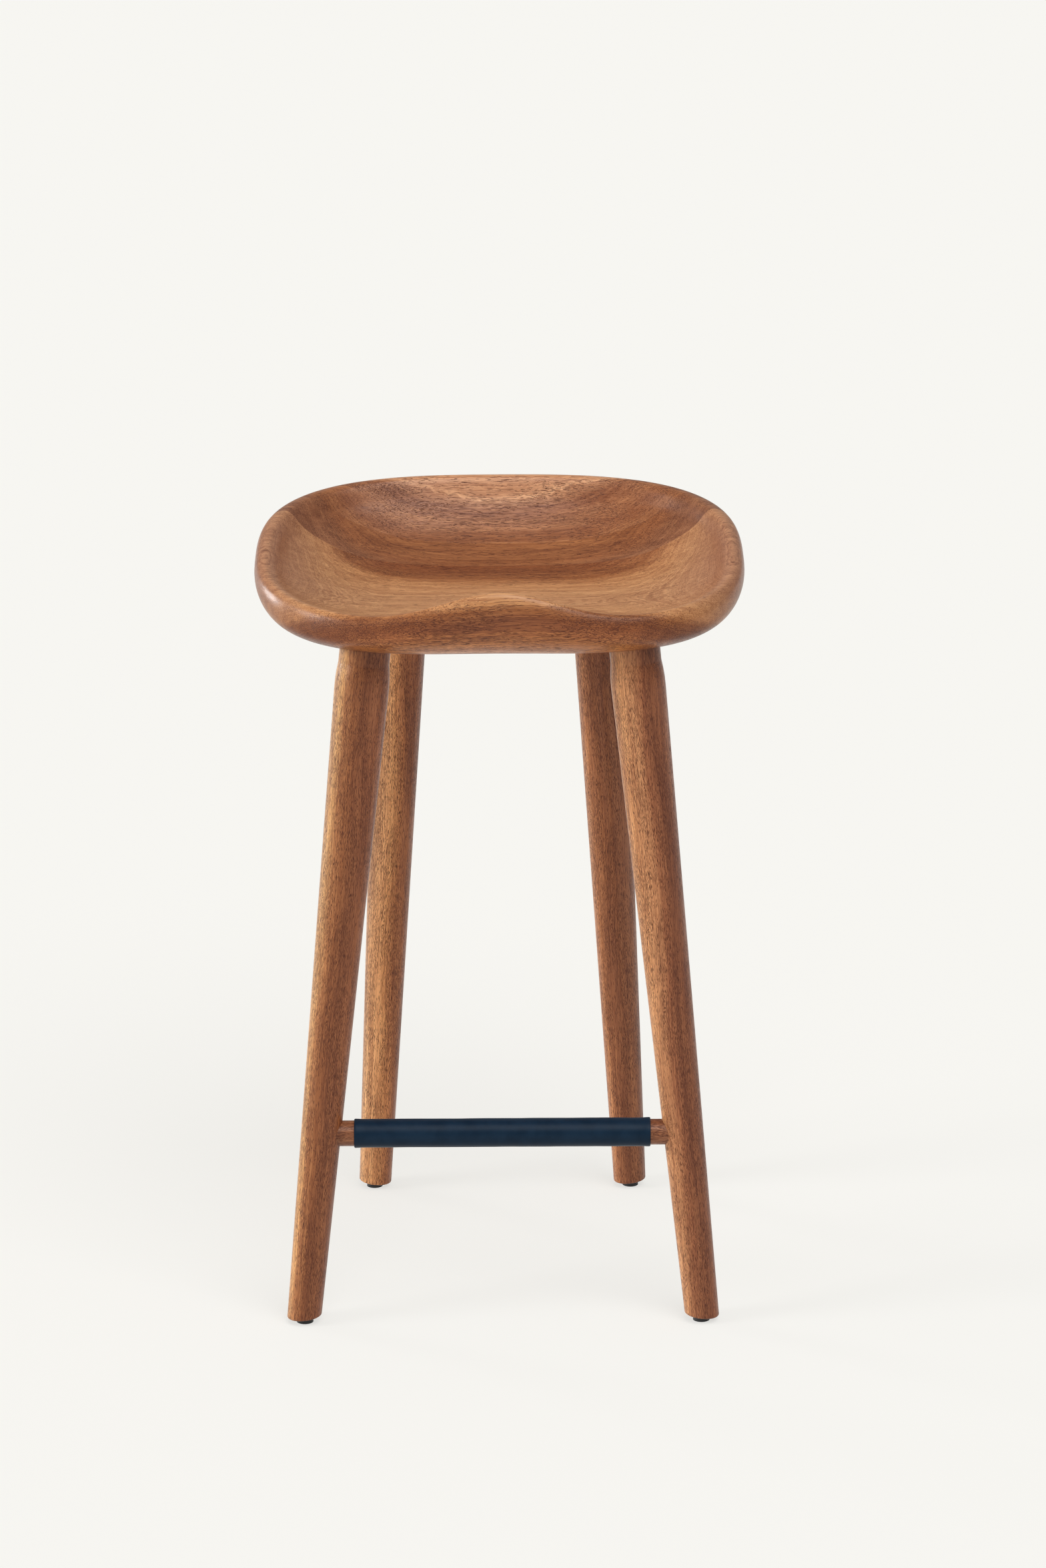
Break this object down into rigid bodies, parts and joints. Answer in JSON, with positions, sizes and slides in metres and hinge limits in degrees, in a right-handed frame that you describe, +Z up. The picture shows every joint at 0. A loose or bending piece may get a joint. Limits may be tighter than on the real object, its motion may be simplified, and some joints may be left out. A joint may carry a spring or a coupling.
{
  "type": "counter stool",
  "caption": "Counter stool with a carved saddle seat on splayed, tapered round legs and a leather-sleeved footrest bar between the front legs.",
  "frame": {"origin": "on the floor, under the middle of the seat", "axes": "+Z up, the front of the stool (footrest side) towards -Y, +X to the right as seen from the front"},
  "size_m": [0.437, 0.3733, 0.6991],
  "materials": {
    "front_board_wood": "oiled, satin",
    "middle_board_wood": "oiled, satin",
    "rear_board_wood": "oiled, satin",
    "leg_wood": "oiled, satin",
    "bar_wood": "oiled, satin",
    "wedge_wood": "bare",
    "navy_leather": "soft satin",
    "glide_plastic": "moulded",
    "nail_steel": "bright"
  },
  "bodies": {
    "root": {"seat_front_board": "front_board_wood", "seat_middle_board": "middle_board_wood", "seat_rear_board": "rear_board_wood", "footrest_bar": "bar_wood", "footrest_leather": "navy_leather", "front_left_leg": "leg_wood", "front_left_wedge": "wedge_wood", "front_left_glide": "glide_plastic", "front_left_glide_nail": "nail_steel", "front_right_leg": "leg_wood", "front_right_wedge": "wedge_wood", "front_right_glide": "glide_plastic", "front_right_glide_nail": "nail_steel", "rear_left_leg": "leg_wood", "rear_left_wedge": "wedge_wood", "rear_left_glide": "glide_plastic", "rear_left_glide_nail": "nail_steel", "rear_right_leg": "leg_wood", "rear_right_wedge": "wedge_wood", "rear_right_glide": "glide_plastic", "rear_right_glide_nail": "nail_steel"}
  },
  "joints": []
}
